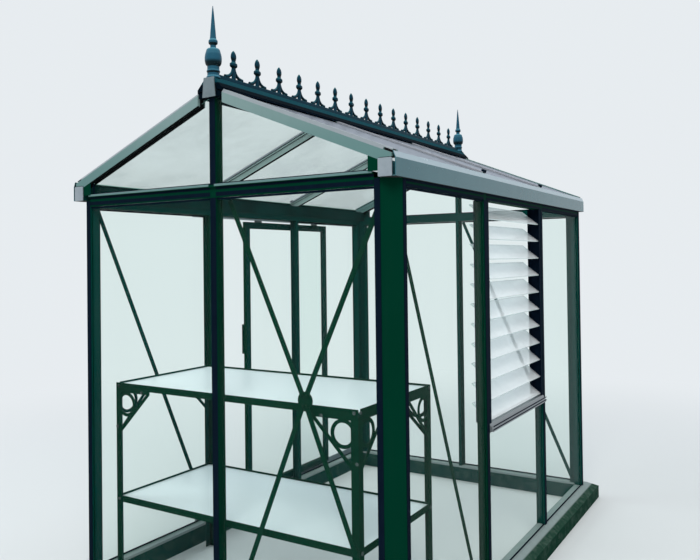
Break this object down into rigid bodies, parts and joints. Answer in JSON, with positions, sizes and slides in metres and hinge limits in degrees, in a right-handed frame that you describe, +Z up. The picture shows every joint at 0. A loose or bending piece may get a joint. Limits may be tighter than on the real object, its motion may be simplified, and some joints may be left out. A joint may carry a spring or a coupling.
{
  "type": "glass greenhouse",
  "caption": "Small pitched-roof glass greenhouse with ridge cresting and finials, side louvre, sliding side door and two-tier staging inside.",
  "frame": {"origin": "on the ground at the middle of the base frame", "axes": "+X to the right along the front gable, +Y away along the long walls, +Z up; the front gable faces -Y and the louvre wall faces +X"},
  "size_m": [1.616, 2.376, 2.3132],
  "materials": {
    "green_frame": "satin powder coat",
    "cast_ridge": "satin paint on casting",
    "base_metal": "satin powder coat",
    "mill_aluminium": "mill finish",
    "bright_steel": "zinc plated",
    "shelf_sheet": "smooth pale sheet",
    "clear_glass": "clear toughened",
    "louvre_glass": "clear with bright edges"
  },
  "bodies": {
    "house": {"door_guide": "mill_aluminium", "door_track": "mill_aluminium", "front_base_rail": "base_metal", "front_brace": "green_frame", "front_brace_plate": "green_frame", "front_gable_glass": "clear_glass", "front_gable_posts": "green_frame", "front_left_corner_post": "green_frame", "front_right_corner_post": "green_frame", "front_tie_beam": "green_frame", "front_verge_bars": "green_frame", "gable_corner_plates": "green_frame", "gutter_end_caps": "mill_aluminium", "left_base_rail": "base_metal", "left_eave_beam": "green_frame", "left_gutter": "green_frame", "left_roof_bars": "green_frame", "left_roof_glass": "clear_glass", "left_wall_brace": "green_frame", "left_wall_glass": "clear_glass", "left_wall_posts": "green_frame", "louvre_blades": "louvre_glass", "louvre_channels": "green_frame", "louvre_sill": "mill_aluminium", "rear_base_rail": "base_metal", "rear_brace": "green_frame", "rear_gable_glass": "clear_glass", "rear_gable_posts": "green_frame", "rear_left_corner_post": "green_frame", "rear_right_corner_post": "green_frame", "rear_tie_beam": "green_frame", "rear_verge_bars": "green_frame", "ridge_beam": "green_frame", "ridge_cresting": "cast_ridge", "ridge_end_caps": "mill_aluminium", "ridge_finials": "cast_ridge", "right_base_rail": "base_metal", "right_eave_beam": "green_frame", "right_gutter": "green_frame", "right_roof_bars": "green_frame", "right_roof_glass": "clear_glass", "right_wall_brace": "green_frame", "right_wall_glass": "clear_glass", "right_wall_posts": "green_frame", "sill_rails": "green_frame", "staging_legs": "green_frame", "staging_lower_rim": "green_frame", "staging_lower_shelf": "shelf_sheet", "staging_upper_rim": "green_frame", "staging_upper_shelf": "shelf_sheet"},
    "door": {"door_frame": "green_frame", "door_glass": "clear_glass", "door_handle": "green_frame", "door_hangers": "bright_steel"}
  },
  "joints": [
    {"name": "door_slide", "type": "slide", "parent": "house", "child": "door", "axis": [0, 1, 0], "range_m": [-0.352, 0.388]}
  ]
}
